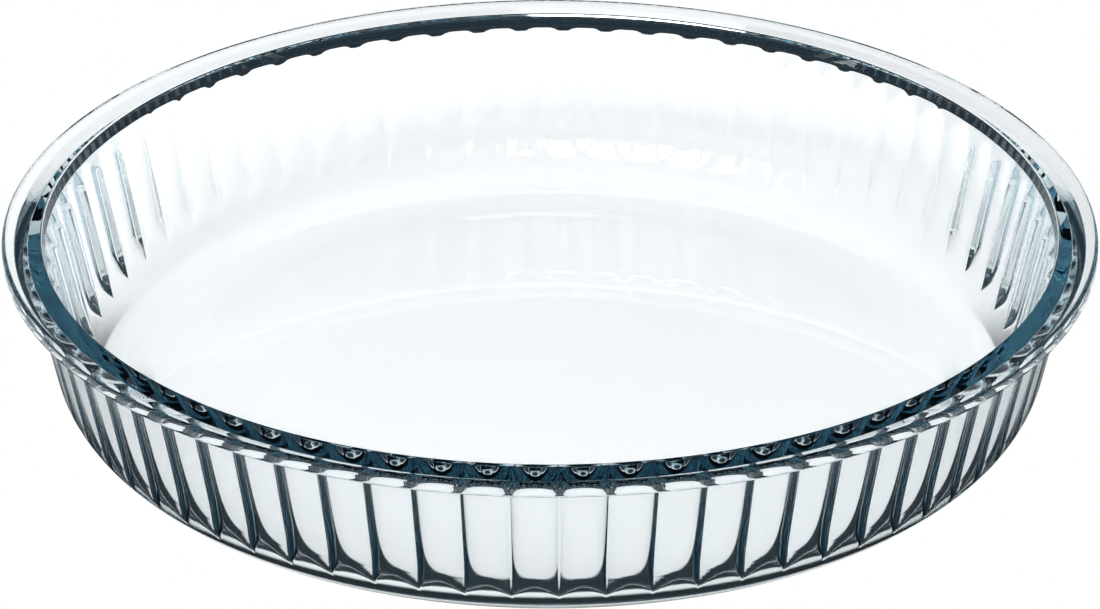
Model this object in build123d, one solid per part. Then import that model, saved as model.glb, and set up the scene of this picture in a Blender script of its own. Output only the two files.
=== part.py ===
from build123d import *
import math
import os

# Pie dish pressed in one piece from clear heat-resistant glass. Its wall is plain outside and fluted
# inside: each flute is an upright hollow, and two neighbouring hollows meet in a sharp ridge.
# The dish stands on the floor with its axis on Z. Its origin is the centre of the base, at the floor.

# Overall sizes
rim_diameter = 280.0            # across the flat rim
dish_height = 48.0              # floor to the top of the rim

# Glass thickness
wall_thickness = 5.0            # square to the wall, without the flutes
base_thickness = 5.0            # floor of the dish over the foot

# Wall and corner
corner_radius = 18.4            # outer corner between base and wall
wall_lean_angle = 11.8          # degrees that the wall leans out from upright

# Rim
rim_width = 10.4                # level with its top, from the mouth to the outer edge
rim_bevel_drop = 6.5            # from the rim's top down to where the wall turns out into a bevel
rim_bevel_share = 0.52          # of the way from the wall to the rim's edge, taken by that bevel
rim_underside_slope = 8.0       # degrees from level, under the rest of the rim
rim_edge_thickness = 4.0        # at the outer edge of the rim
rim_edge_radius = 1.6           # rounding of that edge, above and below
rim_edge_steps = 3              # straight stretches that make each rounding
rim_mouth_run = 0.6             # small slope where the rim turns down into the dish

# Flutes
flute_count = 68
first_ridge_angle = -89.0       # degrees from +X to the ridge nearest the front
flute_depth = 1.9               # from a hollow's middle to the ridges beside it
flute_inset = 0.26              # how far the hollow's middle stands in from the plain corner
mouth_band_height = 3.0         # plain band between the rim and the ridges
ridge_end_height = 5.0          # the slope that runs the ridges out under that band

# Foot: the middle of the base stands clear of the table
foot_width = 9.0                # flat ring that the dish stands on
foot_recess_run = 14.0          # from that ring's inner edge to the full depth of the recess
foot_recess_depth = 0.4

# Overruns
cut_overrun = 3.0               # how far a cutting shape runs past the face that it cuts


lean = math.radians(wall_lean_angle)
rim_radius = rim_diameter / 2


def inner_wall_radius(height):
    """Radius of the inner wall before it is fluted. It leans in from the mouth."""
    return rim_radius - rim_width - (dish_height - height) * math.tan(lean)


def outer_wall_radius(height):
    """Radius of the outer wall, one wall thickness outside the inner one."""
    return inner_wall_radius(height) + wall_thickness / math.cos(lean)


# The outer corner is an arc that touches the base and the outer wall
corner_top_height = corner_radius - corner_radius * math.sin(lean)
base_flat_radius = outer_wall_radius(corner_top_height) - corner_radius * math.cos(lean)
corner_turn_angle = 90 - wall_lean_angle


def turned(outline):
    """Turns a closed outline in the XZ plane about the dish's axis."""
    return revolve(make_face(Plane.XZ * outline), axis=Axis.Z)


def rounded_edge(center_height, start, end):
    """Points of one rounding of the rim's edge, from one angle to another, in degrees from level."""
    step = (end - start) / rim_edge_steps
    angles = [math.radians(start + number * step) for number in range(rim_edge_steps + 1)]
    return [
        (
            rim_radius - rim_edge_radius + rim_edge_radius * math.cos(angle),
            center_height + rim_edge_radius * math.sin(angle),
        )
        for angle in angles
    ]


def plain_dish():
    """The dish's outside, still solid: base, corner, wall and rim."""
    low_center = dish_height - rim_edge_thickness + rim_edge_radius
    low_edge = rounded_edge(low_center, rim_underside_slope - 90, 0)
    high_edge = rounded_edge(dish_height - rim_edge_radius, 0, 90)

    # The bevel runs out to the root of the rim, where the underside starts
    bevel_foot = dish_height - rim_bevel_drop
    bevel_foot_radius = outer_wall_radius(bevel_foot)
    overhang = rim_radius - bevel_foot_radius
    root_radius = bevel_foot_radius + overhang * rim_bevel_share
    edge_foot_radius, edge_foot = low_edge[0]
    underside_rise = (edge_foot_radius - root_radius) * math.tan(math.radians(rim_underside_slope))

    with BuildLine() as outline:
        base = Line((0, 0), (base_flat_radius, 0))
        corner = CenterArc(
            (base_flat_radius, corner_radius), corner_radius, -90, corner_turn_angle
        )
        Polyline(
            corner @ 1,
            (bevel_foot_radius, bevel_foot),
            (root_radius, edge_foot - underside_rise),
            *low_edge,
            *high_edge,
            (0, dish_height),
            base @ 0,
        )
    return turned(outline.line)


def flute_hollow():
    """One flute's share of the inside, about +X: from ridge to ridge, cut by the floor and corner."""
    middle = dish_height / 2
    side_slope = math.tan(math.radians(180 / flute_count))
    half_width = inner_wall_radius(middle) * side_slope
    hollow_radius = (half_width ** 2 + flute_depth ** 2) / (2 * flute_depth)

    # A cylinder leans with the wall, and a block takes everything inside its centre line
    inset = (flute_inset + hollow_radius) / math.cos(lean)
    cylinder = Pos(inner_wall_radius(middle) - inset, 0, middle) * (
        Rot(0, wall_lean_angle, 0) * Cylinder(hollow_radius, 2 * dish_height)
    )
    with BuildLine() as inside:
        Polyline(
            (0, 0),
            (inner_wall_radius(0) - inset, 0),
            (inner_wall_radius(dish_height) - inset, dish_height),
            (0, dish_height),
            (0, 0),
        )
    block = extrude(make_face(Plane.XZ * inside.line), amount=hollow_radius, both=True)

    # The plain inside of the dish, and the slice of it that belongs to one flute
    with BuildLine() as outline:
        floor = Line((0, base_thickness), (base_flat_radius, base_thickness))
        corner = CenterArc(
            (base_flat_radius, corner_radius),
            corner_radius - wall_thickness,
            -90,
            corner_turn_angle,
        )
        wall = Line(corner @ 1, (inner_wall_radius(dish_height), dish_height))
        Polyline(wall @ 1, (0, dish_height), floor @ 0)
    inside_of_dish = extrude(make_face(Plane.XZ * outline.line), amount=rim_radius, both=True)
    side = rim_radius * side_slope
    with BuildLine() as sides:
        Polyline((0, 0), (rim_radius, -side), (rim_radius, side), (0, 0))
    one_slice = extrude(make_face(sides.line), amount=dish_height)
    return (cylinder + block) & inside_of_dish & one_slice


def flute_hollows():
    """The hollow of every flute, each turned to its place."""
    pitch = 360 / flute_count
    first = first_ridge_angle + pitch / 2
    hollow = flute_hollow()
    return [Rot(0, 0, first + number * pitch) * hollow for number in range(flute_count)]


def mouth():
    """The plain band and sloped edge at the top, and the slope that runs out over the ridges' ends."""
    band_foot = dish_height - mouth_band_height
    slope_foot = band_foot - ridge_end_height
    edge_foot = dish_height - rim_mouth_run
    top = dish_height + cut_overrun
    edge_radius = inner_wall_radius(dish_height)
    slope_foot_radius = inner_wall_radius(slope_foot) - flute_inset - flute_depth - flute_inset
    with BuildLine() as outline:
        wall = Polyline(
            (slope_foot_radius, slope_foot),
            (inner_wall_radius(band_foot), band_foot),
            (inner_wall_radius(edge_foot), edge_foot),
            (edge_radius + rim_mouth_run, dish_height),
        )
        Polyline(
            wall @ 1,
            (edge_radius + rim_mouth_run, top),
            (0, top),
            (0, slope_foot),
            wall @ 0,
        )
    return turned(outline.line)


def foot_recess():
    """Shallow hollow under the base, so that the dish stands on a ring."""
    foot_inner_radius = base_flat_radius - foot_width
    with BuildLine() as outline:
        Polyline(
            (0, -cut_overrun),
            (foot_inner_radius, -cut_overrun),
            (foot_inner_radius, 0),
            (foot_inner_radius - foot_recess_run, foot_recess_depth),
            (0, foot_recess_depth),
            (0, -cut_overrun),
        )
    return turned(outline.line)


def glass_dish():
    return plain_dish() - flute_hollows() - mouth() - foot_recess()


os.makedirs("parts", exist_ok=True)
export_step(glass_dish(), "parts/glass_dish.step")
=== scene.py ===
import math

import bmesh
import bpy
from mathutils import Matrix, Vector


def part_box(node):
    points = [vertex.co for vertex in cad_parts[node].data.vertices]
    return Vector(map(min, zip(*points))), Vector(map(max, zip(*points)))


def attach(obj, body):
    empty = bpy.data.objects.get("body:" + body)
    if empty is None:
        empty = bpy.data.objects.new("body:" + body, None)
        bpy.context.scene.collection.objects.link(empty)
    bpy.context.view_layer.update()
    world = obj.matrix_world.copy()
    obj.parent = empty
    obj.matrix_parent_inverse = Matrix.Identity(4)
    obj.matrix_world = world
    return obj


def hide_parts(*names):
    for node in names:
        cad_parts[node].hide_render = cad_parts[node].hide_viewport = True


# Pie dish pressed in one piece from clear glass, on a pale floor in a soft studio light.
# Its outside is plain and its inner wall is fluted. Lengths are in metres, angles in degrees.

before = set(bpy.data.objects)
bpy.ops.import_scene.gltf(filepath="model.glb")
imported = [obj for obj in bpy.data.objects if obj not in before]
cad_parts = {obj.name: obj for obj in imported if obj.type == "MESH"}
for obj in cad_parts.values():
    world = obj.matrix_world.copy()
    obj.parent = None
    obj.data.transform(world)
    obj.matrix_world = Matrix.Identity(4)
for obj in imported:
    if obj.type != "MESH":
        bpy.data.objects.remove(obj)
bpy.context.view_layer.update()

# Sizes of the dish: the rim's radius and the height come from the frame

MM = 0.001
LOW, HIGH = (Vector(corner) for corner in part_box("glass_dish"))
RIM_RADIUS = (HIGH.x - LOW.x) / 2
DISH_HEIGHT = HIGH.z - LOW.z

WALL_THICKNESS = 5.0 * MM
BASE_THICKNESS = 5.0 * MM
CORNER_RADIUS = 18.4 * MM
WALL_LEAN = 11.8

RIM_WIDTH = 10.4 * MM
RIM_BEVEL_DROP = 6.5 * MM
RIM_BEVEL_SHARE = 0.52
RIM_ROOT_RADIUS = 1.0 * MM
RIM_UNDERSIDE_SLOPE = 8.0
RIM_EDGE_THICKNESS = 4.0 * MM
RIM_EDGE_RADIUS = 1.6 * MM
RIM_MOUTH_RADIUS = 0.6 * MM

FLUTE_COUNT = 68
FIRST_RIDGE = -89.0
FLUTE_DEPTH = 1.9 * MM
FLUTE_INSET = 0.26 * MM
FLUTE_END_SOFTNESS = 0.12 * MM
MOUTH_BAND_HEIGHT = 3.0 * MM
RIDGE_END_HEIGHT = 5.0 * MM

FOOT_WIDTH = 9.0 * MM
FOOT_RECESS_DEPTH = 0.4 * MM
FOOT_RECESS_RUN = 14.0 * MM

# Fineness of the surface: steps round each part of the section and round one flute
OUTER_CORNER_STEPS = 14
INNER_CORNER_STEPS = 16
RIM_EDGE_STEPS = 6
RIM_ROOT_STEPS = 4
RIM_MOUTH_STEPS = 5
RIDGE_END_STEPS = 9
FOOT_RECESS_STEPS = 7
STEPS_PER_FLUTE = 14
STEP_GATHER_SHARE = 0.1
CRISP_REACH = 0.2 * MM
FLUTED_REACH = 4.0 * MM
MERGE_DISTANCE = 0.001 * MM

# Zones of the section: left plain, sloped to end the ridges, or fluted
PLAIN, RIDGE_END, FLUTED = range(3)

LEAN = math.radians(WALL_LEAN)


def inner_wall(height):
    """Radius of the inner wall before it is fluted. It leans in from the mouth."""
    return RIM_RADIUS - RIM_WIDTH - (DISH_HEIGHT - height) * math.tan(LEAN)


def outer_wall(height):
    """Radius of the outer wall, one wall thickness outside the inner one."""
    return inner_wall(height) + WALL_THICKNESS / math.cos(LEAN)


# Both corners, inside and out, bend round one centre
CORNER_TOP = CORNER_RADIUS - CORNER_RADIUS * math.sin(LEAN)
BASE_FLAT_RADIUS = outer_wall(CORNER_TOP) - CORNER_RADIUS * math.cos(LEAN)
CORNER_CENTER = (BASE_FLAT_RADIUS, CORNER_RADIUS)


def arc(center, radius, start, end, steps):
    """Points of an arc in the section, at angles measured from outwards and level."""
    angles = [math.radians(start + (end - start) * step / steps) for step in range(steps + 1)]
    return [(center[0] + radius * math.cos(a), center[1] + radius * math.sin(a)) for a in angles]


def line(start, end, steps=1, reach=CRISP_REACH):
    """Points of a straight stretch, its start left out.

    A point within the reach of each end holds the bend there to that width.
    """
    near = reach / math.dist(start, end)
    shares = [near, *(step / steps for step in range(1, steps)), 1 - near, 1]
    return [tuple(s + (e - s) * share for s, e in zip(start, end)) for share in shares]


def underside_points():
    """From the middle of the base out: a shallow recess runs out softly to a flat foot ring."""
    recess_edge = BASE_FLAT_RADIUS - FOOT_WIDTH - FOOT_RECESS_RUN
    points = [(0.0, FOOT_RECESS_DEPTH), (recess_edge / 2, FOOT_RECESS_DEPTH)]
    for step in range(FOOT_RECESS_STEPS + 1):
        share = step / FOOT_RECESS_STEPS
        height = FOOT_RECESS_DEPTH * (0.5 + 0.5 * math.cos(math.pi * share))
        points.append((recess_edge + FOOT_RECESS_RUN * share, height))
    return points + [(BASE_FLAT_RADIUS - FOOT_WIDTH / 2, 0.0)]


def rim_underside_points():
    """From the wall out: a bevel, a round root, a nearly level underside and the rim's edge."""
    edge_center = (
        RIM_RADIUS - RIM_EDGE_RADIUS,
        DISH_HEIGHT - RIM_EDGE_THICKNESS + RIM_EDGE_RADIUS,
    )
    edge = arc(edge_center, RIM_EDGE_RADIUS, RIM_UNDERSIDE_SLOPE - 90, 0, RIM_EDGE_STEPS)
    under = math.radians(RIM_UNDERSIDE_SLOPE)

    # The bevel and the underside meet at a bend, which is then rounded
    foot_height = DISH_HEIGHT - RIM_BEVEL_DROP
    foot_radius = outer_wall(foot_height)
    bend_radius = foot_radius + (RIM_RADIUS - foot_radius) * RIM_BEVEL_SHARE
    bend_height = edge[0][1] - (edge[0][0] - bend_radius) * math.tan(under)
    bevel = math.atan2(bend_height - foot_height, bend_radius - foot_radius)
    back = RIM_ROOT_RADIUS * math.tan((bevel - under) / 2)
    root_start = (bend_radius - back * math.cos(bevel), bend_height - back * math.sin(bevel))
    root_center = (
        root_start[0] + RIM_ROOT_RADIUS * math.sin(bevel),
        root_start[1] - RIM_ROOT_RADIUS * math.cos(bevel),
    )
    root_angles = (90 + math.degrees(bevel), 90 + RIM_UNDERSIDE_SLOPE)
    root = arc(root_center, RIM_ROOT_RADIUS, *root_angles, RIM_ROOT_STEPS)
    slope = line((foot_radius, foot_height), root[0])
    return slope + root[1:] + line(root[-1], edge[0]) + edge[1:]


def dish_section():
    """The glass cut through once: along the base, up, over the rim and back in along the floor."""
    points = []

    def add(stretch, zone=PLAIN):
        points.extend((radius, height, zone) for radius, height in stretch)

    bevel_foot = DISH_HEIGHT - RIM_BEVEL_DROP
    add(underside_points())
    add(arc(CORNER_CENTER, CORNER_RADIUS, -90, -WALL_LEAN, OUTER_CORNER_STEPS))
    add(line(points[-1][:2], (outer_wall(bevel_foot), bevel_foot)))
    add(rim_underside_points())

    # Top edge, flat top and rounded mouth
    edge_center = (RIM_RADIUS - RIM_EDGE_RADIUS, DISH_HEIGHT - RIM_EDGE_RADIUS)
    add(arc(edge_center, RIM_EDGE_RADIUS, 0, 90, RIM_EDGE_STEPS))
    mouth_center = (inner_wall(DISH_HEIGHT) + RIM_MOUTH_RADIUS, DISH_HEIGHT - RIM_MOUTH_RADIUS)
    mouth = arc(mouth_center, RIM_MOUTH_RADIUS, 90, 180 - WALL_LEAN, RIM_MOUTH_STEPS)
    add(line(points[-1][:2], mouth[0]))
    add(mouth[1:])

    # Plain band, the slope that ends the ridges, the fluted wall and corner, and the floor
    band_foot = DISH_HEIGHT - MOUTH_BAND_HEIGHT
    ridge_top = band_foot - RIDGE_END_HEIGHT
    ridge_foot = (inner_wall(ridge_top) - FLUTE_DEPTH - FLUTE_INSET * 2, ridge_top)
    add(line(mouth[-1], (inner_wall(band_foot), band_foot)))
    add(line(points[-1][:2], ridge_foot, RIDGE_END_STEPS), RIDGE_END)
    inner_radius = CORNER_RADIUS - WALL_THICKNESS
    inner_corner = arc(CORNER_CENTER, inner_radius, -WALL_LEAN, -90, INNER_CORNER_STEPS)
    fluted_wall = line(
        (inner_wall(ridge_top), ridge_top), inner_corner[0], steps=2, reach=FLUTED_REACH
    )
    add(fluted_wall, FLUTED)
    add(inner_corner[1:], FLUTED)
    add(line(points[-1][:2], (0.0, BASE_THICKNESS)))
    return points


def soft_larger(first, second, softness):
    """The larger of two lengths, with the change from one to the other rounded."""
    share = max(0.0, min(1.0, 0.5 + 0.5 * (first - second) / softness))
    return first * share + second * (1 - share) + softness * share * (1 - share)


def flute_turn(angle):
    """Counts flutes round the dish: whole numbers are ridges."""
    return (math.degrees(angle) - FIRST_RIDGE) / 360 * FLUTE_COUNT


def gathered(angle):
    """Moves a column of points towards the nearest ridge, where the surface turns most."""
    turn = flute_turn(angle)
    turn -= STEP_GATHER_SHARE * math.sin(math.tau * turn)
    return math.radians(FIRST_RIDGE + turn / FLUTE_COUNT * 360)


def ridge_share(angle):
    """Nought in the middle of a flute's hollow and one on the ridges beside it."""
    turn = flute_turn(angle)
    return (1 - 2 * abs(turn - round(turn))) ** 2


def fluted_place(radius, height, zone, share):
    """Where a point of the plain section lies once the flutes are pressed.

    On the straight wall it moves level. On the corner it moves towards the corner's centre,
    and the flutes run out where the corner bends away from the line of the hollow.
    """
    inset = FLUTE_INSET + FLUTE_DEPTH * share
    if height > CORNER_TOP:
        wall = inner_wall(height) - inset / math.cos(LEAN)
        if zone == RIDGE_END:
            wall = soft_larger(radius, wall, 2 * FLUTE_END_SOFTNESS)
        return wall, height
    outwards, upwards = radius - CORNER_CENTER[0], height - CORNER_CENTER[1]
    tilt = min(math.atan2(upwards, outwards), -LEAN)
    bend_radius = math.hypot(upwards, outwards)
    gap = ((-LEAN - tilt) * bend_radius) ** 2 / (2 * bend_radius)
    inset = soft_larger(inset - gap, 0.0, FLUTE_END_SOFTNESS)
    return radius - inset * math.cos(tilt), height - inset * math.sin(tilt)


def turned(bm, geom, angle, steps, use_duplicate=False):
    """Spins a line into a surface, or repeats a surface, about the dish's axis."""
    bmesh.ops.spin(
        bm,
        geom=geom,
        cent=(0, 0, 0),
        axis=(0, 0, 1),
        dvec=(0, 0, 0),
        angle=angle,
        steps=steps,
        use_merge=False,
        use_normal_flip=False,
        use_duplicate=use_duplicate,
    )


def glass_dish():
    """The whole dish: one flute's slice of it repeated all round, its flutes then pressed in."""
    bm = bmesh.new()
    zone = bm.verts.layers.int.new("zone")
    section = []
    for radius, height, place in dish_section():
        vert = bm.verts.new((radius, 0.0, height))
        vert[zone] = place
        section.append(vert)
    edges = [bm.edges.new(pair) for pair in zip(section, section[1:])]
    first = Matrix.Rotation(math.radians(FIRST_RIDGE), 3, "Z")
    bmesh.ops.rotate(bm, verts=section, cent=(0, 0, 0), matrix=first)
    pitch = math.tau / FLUTE_COUNT
    turned(bm, section + edges, pitch, STEPS_PER_FLUTE)
    one_flute = bm.verts[:] + bm.edges[:] + bm.faces[:]
    turned(bm, one_flute, math.tau - pitch, FLUTE_COUNT - 1, use_duplicate=True)
    bmesh.ops.remove_doubles(bm, verts=bm.verts[:], dist=MERGE_DISTANCE)
    for vert in bm.verts:
        angle = gathered(math.atan2(vert.co.y, vert.co.x))
        radius, height = math.hypot(vert.co.x, vert.co.y), vert.co.z
        if vert[zone] != PLAIN:
            radius, height = fluted_place(radius, height, vert[zone], ridge_share(angle))
        vert.co = (radius * math.cos(angle), radius * math.sin(angle), height)
    bmesh.ops.recalc_face_normals(bm, faces=bm.faces[:])
    for face in bm.faces:
        face.smooth = True
    piece = mesh_object(bm, "clear_glass_dish")
    piece.data.materials.append(pressed_clear_glass())
    return piece


def mesh_object(bm, name):
    """Turns a bmesh into an object at the origin."""
    mesh = bpy.data.meshes.new(name)
    bm.to_mesh(mesh)
    bm.free()
    obj = bpy.data.objects.new(name, mesh)
    bpy.context.scene.collection.objects.link(obj)
    return obj


# Finishes


def linear(hex_color):
    """An sRGB hex colour as a linear RGBA."""
    values = [int(hex_color[i:i + 2], 16) / 255 for i in (0, 2, 4)]
    return (*(v / 12.92 if v <= 0.04045 else ((v + 0.055) / 1.055) ** 2.4 for v in values), 1.0)


def node(tree, kind, links=None, **settings):
    """Adds a node, sets its properties or sockets by name, and links the sockets given."""
    made = tree.nodes.new(kind)
    for name, value in settings.items():
        if hasattr(made, name):
            setattr(made, name, value)
        else:
            made.inputs[name.replace("_", " ")].default_value = value
    for name, source in (links or {}).items():
        tree.links.new(source, made.inputs[name])
    return made


def material(name):
    """A new material and its empty node tree."""
    made = bpy.data.materials.new(name)
    made.use_nodes = True
    made.node_tree.nodes.clear()
    return made, made.node_tree


WAVE_SIZE = 14 * MM
WAVE_HEIGHT = 0.02 * MM
GLASS_IOR = 1.473
GLASS_TINT = (0.1, 0.52, 0.66, 1)
GLASS_TINT_DENSITY = 8.0


def pressed_clear_glass():
    """Borosilicate glass, pressed in a mould and then fire-polished.

    The tint lies in the depth of the glass, so the rim goes dark navy where light runs along
    it and the thin wall stays clear. Faint waves from the mould bend the light a little.
    """
    made, tree = material("pressed_clear_glass")
    place = node(tree, "ShaderNodeTexCoord").outputs["Object"]
    waves = node(tree, "ShaderNodeTexNoise", {"Vector": place}, Scale=1 / WAVE_SIZE, Detail=1.0)
    relief = node(
        tree, "ShaderNodeBump", {"Height": waves.outputs[0]}, Strength=1.0, Distance=WAVE_HEIGHT
    )
    surface = node(
        tree,
        "ShaderNodeBsdfPrincipled",
        {"Normal": relief.outputs[0]},
        Base_Color=linear("ffffff"),
        Roughness=0.0,
        IOR=GLASS_IOR,
        Transmission_Weight=1.0,
    )
    tint = node(
        tree, "ShaderNodeVolumeAbsorption", Color=GLASS_TINT, Density=GLASS_TINT_DENSITY
    )
    finish = {"Surface": surface.outputs[0], "Volume": tint.outputs[0]}
    node(tree, "ShaderNodeOutputMaterial", finish)
    return made


# Setting: floor, light and camera

FLOOR_HALF = 0.9
FLOOR_GAP = 0.3 * MM
FLOOR_GLOW = 0.82
PAPER_COLOR = "f7f7f7"
SHADOW_COLOR = "2b3237"

# Each shadow fades in from the first value to the second. Radii are from the dish's axis.
# The others are sines on the floor: right is 1 along X, and back is 1 along Y.
FOOT_SHADOW_INNER_RADIUS = (101.5 * MM, 103.5 * MM)
FOOT_SHADOW_OUTER_RADIUS = (117.5 * MM, 115.5 * MM)
FOOT_SHADOW_BACK = (0.1, -0.3)
OUTER_SHADOW_INNER_RADIUS = (119.0 * MM, 120.5 * MM)
OUTER_SHADOW_OUTER_RADIUS = (190.0 * MM, 165.0 * MM)
OUTER_SHADOW_BACK = (0.4, 0.0)
OUTER_SHADOW_RIGHT = (0.12, 0.3)
OUTER_SHADOW_LEFT = (-0.22, -0.62)
FAR_SHADOW_RADIUS = (245.0 * MM, 255.0 * MM)
FAR_SHADOW_BACK = (0.1, 0.5)


def rise(tree, value, start, end):
    """Nought at the start, one at the end, and a smooth rise between them."""
    made = node(
        tree,
        "ShaderNodeMapRange",
        {"Value": value},
        interpolation_type="SMOOTHSTEP",
        From_Min=start,
        From_Max=end,
    )
    return made.outputs[0]


def combined(tree, operation, first, *others):
    """One value from two or more, by an operation that takes them in pairs."""
    for other in others:
        first = node(tree, "ShaderNodeMath", {0: first, 1: other}, operation=operation).outputs[0]
    return first


def dish_shadow(tree, mirrored):
    """How dark the floor is: under the dish's foot, round its sides and some way behind it.

    It stands for the dark surroundings that the photo's glass shows, and is placed for the
    photo's angle. A mirrored ray finds the shadow round the dish at the front as well.
    """
    place = node(tree, "ShaderNodeTexCoord").outputs["Object"]
    radius = node(tree, "ShaderNodeVectorMath", {0: place}, operation="LENGTH").outputs["Value"]
    parts = node(tree, "ShaderNodeSeparateXYZ", {0: place})
    right = combined(tree, "DIVIDE", parts.outputs["X"], radius)
    back = combined(tree, "DIVIDE", parts.outputs["Y"], radius)
    foot = combined(
        tree,
        "MULTIPLY",
        rise(tree, radius, *FOOT_SHADOW_INNER_RADIUS),
        rise(tree, radius, *FOOT_SHADOW_OUTER_RADIUS),
        rise(tree, back, *FOOT_SHADOW_BACK),
    )
    sides = combined(
        tree,
        "MAXIMUM",
        rise(tree, right, *OUTER_SHADOW_RIGHT),
        rise(tree, right, *OUTER_SHADOW_LEFT),
        mirrored,
    )
    outer = combined(
        tree,
        "MULTIPLY",
        sides,
        rise(tree, back, *OUTER_SHADOW_BACK),
        rise(tree, radius, *OUTER_SHADOW_INNER_RADIUS),
        rise(tree, radius, *OUTER_SHADOW_OUTER_RADIUS),
    )
    far = combined(
        tree,
        "MULTIPLY",
        rise(tree, radius, *FAR_SHADOW_RADIUS),
        rise(tree, back, *FAR_SHADOW_BACK),
    )
    return combined(tree, "MAXIMUM", foot, outer, far)


def floor():
    """Matt white paper, lit evenly from below and a little from above.

    Seen directly it is an even white, like the photo's cleared background. The shadow shows
    only through the glass or mirrored in it, and dims no light that bounces off the paper.
    """
    bm = bmesh.new()
    bmesh.ops.create_grid(bm, x_segments=1, y_segments=1, size=FLOOR_HALF)
    bmesh.ops.translate(bm, verts=bm.verts[:], vec=(0, 0, -FLOOR_GAP))
    piece = mesh_object(bm, "pale_floor")
    made, tree = material("matt_white_paper")
    seen = node(tree, "ShaderNodeLightPath").outputs
    not_diffuse = node(tree, "ShaderNodeInvert", {"Color": seen["Is Diffuse Ray"]}).outputs[0]
    shadow = dish_shadow(tree, seen["Is Glossy Ray"])
    shade = combined(tree, "MULTIPLY", shadow, not_diffuse)

    # The mix node numbers its colour sockets after those for values and vectors
    color = node(tree, "ShaderNodeMix", {"Factor": shade}, data_type="RGBA")
    color.inputs[6].default_value = linear(PAPER_COLOR)
    color.inputs[7].default_value = linear(SHADOW_COLOR)
    paper = node(tree, "ShaderNodeBsdfDiffuse", {"Color": color.outputs[2]})
    glow = node(tree, "ShaderNodeEmission", {"Color": color.outputs[2]}, Strength=FLOOR_GLOW)
    shaded = node(tree, "ShaderNodeAddShader", {0: paper.outputs[0], 1: glow.outputs[0]})
    cleared = node(tree, "ShaderNodeEmission", Color=linear("ffffff"), Strength=1.0)
    surface = node(
        tree,
        "ShaderNodeMixShader",
        {0: seen["Is Camera Ray"], 1: shaded.outputs[0], 2: cleared.outputs[0]},
    )
    node(tree, "ShaderNodeOutputMaterial", {"Surface": surface.outputs[0]})
    piece.data.materials.append(made)


def soft_box(name, size, place, power):
    """A rectangular light that faces the dish. Mirrored rays don't see it."""
    light = bpy.data.lights.new(name, "AREA")
    light.shape = "RECTANGLE"
    light.size, light.size_y = size
    light.energy = power
    obj = bpy.data.objects.new(name, light)
    obj.location = place
    obj.rotation_euler = (-Vector(place)).to_track_quat("-Z", "Y").to_euler()
    obj.visible_glossy = False
    bpy.context.scene.collection.objects.link(obj)


ROOM_COLOR = "22303a"
KEY_SIZE = (1.0, 0.7)
KEY_PLACE = (-0.35, -0.8, 1.05)
KEY_POWER = 14


def studio():
    """A dim room, which the camera sees directly as a pale backdrop, and one large soft box."""
    world = bpy.data.worlds.new("dim_studio")
    world.use_nodes = True
    tree = world.node_tree
    tree.nodes.clear()
    room = node(tree, "ShaderNodeBackground", Color=linear(ROOM_COLOR))
    backdrop = node(tree, "ShaderNodeBackground", Color=linear("ffffff"))
    seen = node(tree, "ShaderNodeLightPath").outputs["Is Camera Ray"]
    both = node(
        tree, "ShaderNodeMixShader", {0: seen, 1: room.outputs[0], 2: backdrop.outputs[0]}
    )
    node(tree, "ShaderNodeOutputWorld", {"Surface": both.outputs[0]})
    bpy.context.scene.world = world
    soft_box("key_soft_box", KEY_SIZE, KEY_PLACE, KEY_POWER)


CAMERA_DISTANCE = 1.3001
CAMERA_RISE = 26.192
CAMERA_PITCH = 27.160
CAMERA_AIM_HEIGHT = 47.88 * MM
CAMERA_LENS = 166.09
CAMERA_SENSOR = 36


def photo_camera():
    """A long lens, in front of the dish and a little above it."""
    data = bpy.data.cameras.new("photo_camera")
    data.lens = CAMERA_LENS
    data.sensor_width = CAMERA_SENSOR
    obj = bpy.data.objects.new("photo_camera", data)
    up = math.radians(CAMERA_RISE)
    obj.location = (
        0,
        -CAMERA_DISTANCE * math.cos(up),
        CAMERA_AIM_HEIGHT + CAMERA_DISTANCE * math.sin(up),
    )
    obj.rotation_euler = (math.radians(90 - CAMERA_PITCH), 0, 0)
    bpy.context.scene.collection.objects.link(obj)
    bpy.context.scene.camera = obj


BOUNCES = 32
GLASS_BOUNCES = 24


def light_paths():
    """Enough bounces for light that runs along inside the rim."""
    scene = bpy.context.scene
    scene.cycles.max_bounces = BOUNCES
    scene.cycles.glossy_bounces = GLASS_BOUNCES
    scene.cycles.transmission_bounces = GLASS_BOUNCES
    scene.view_settings.view_transform = "Standard"


dish = glass_dish()
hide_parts("glass_dish")
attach(dish, "root")
floor()
studio()
photo_camera()
light_paths()
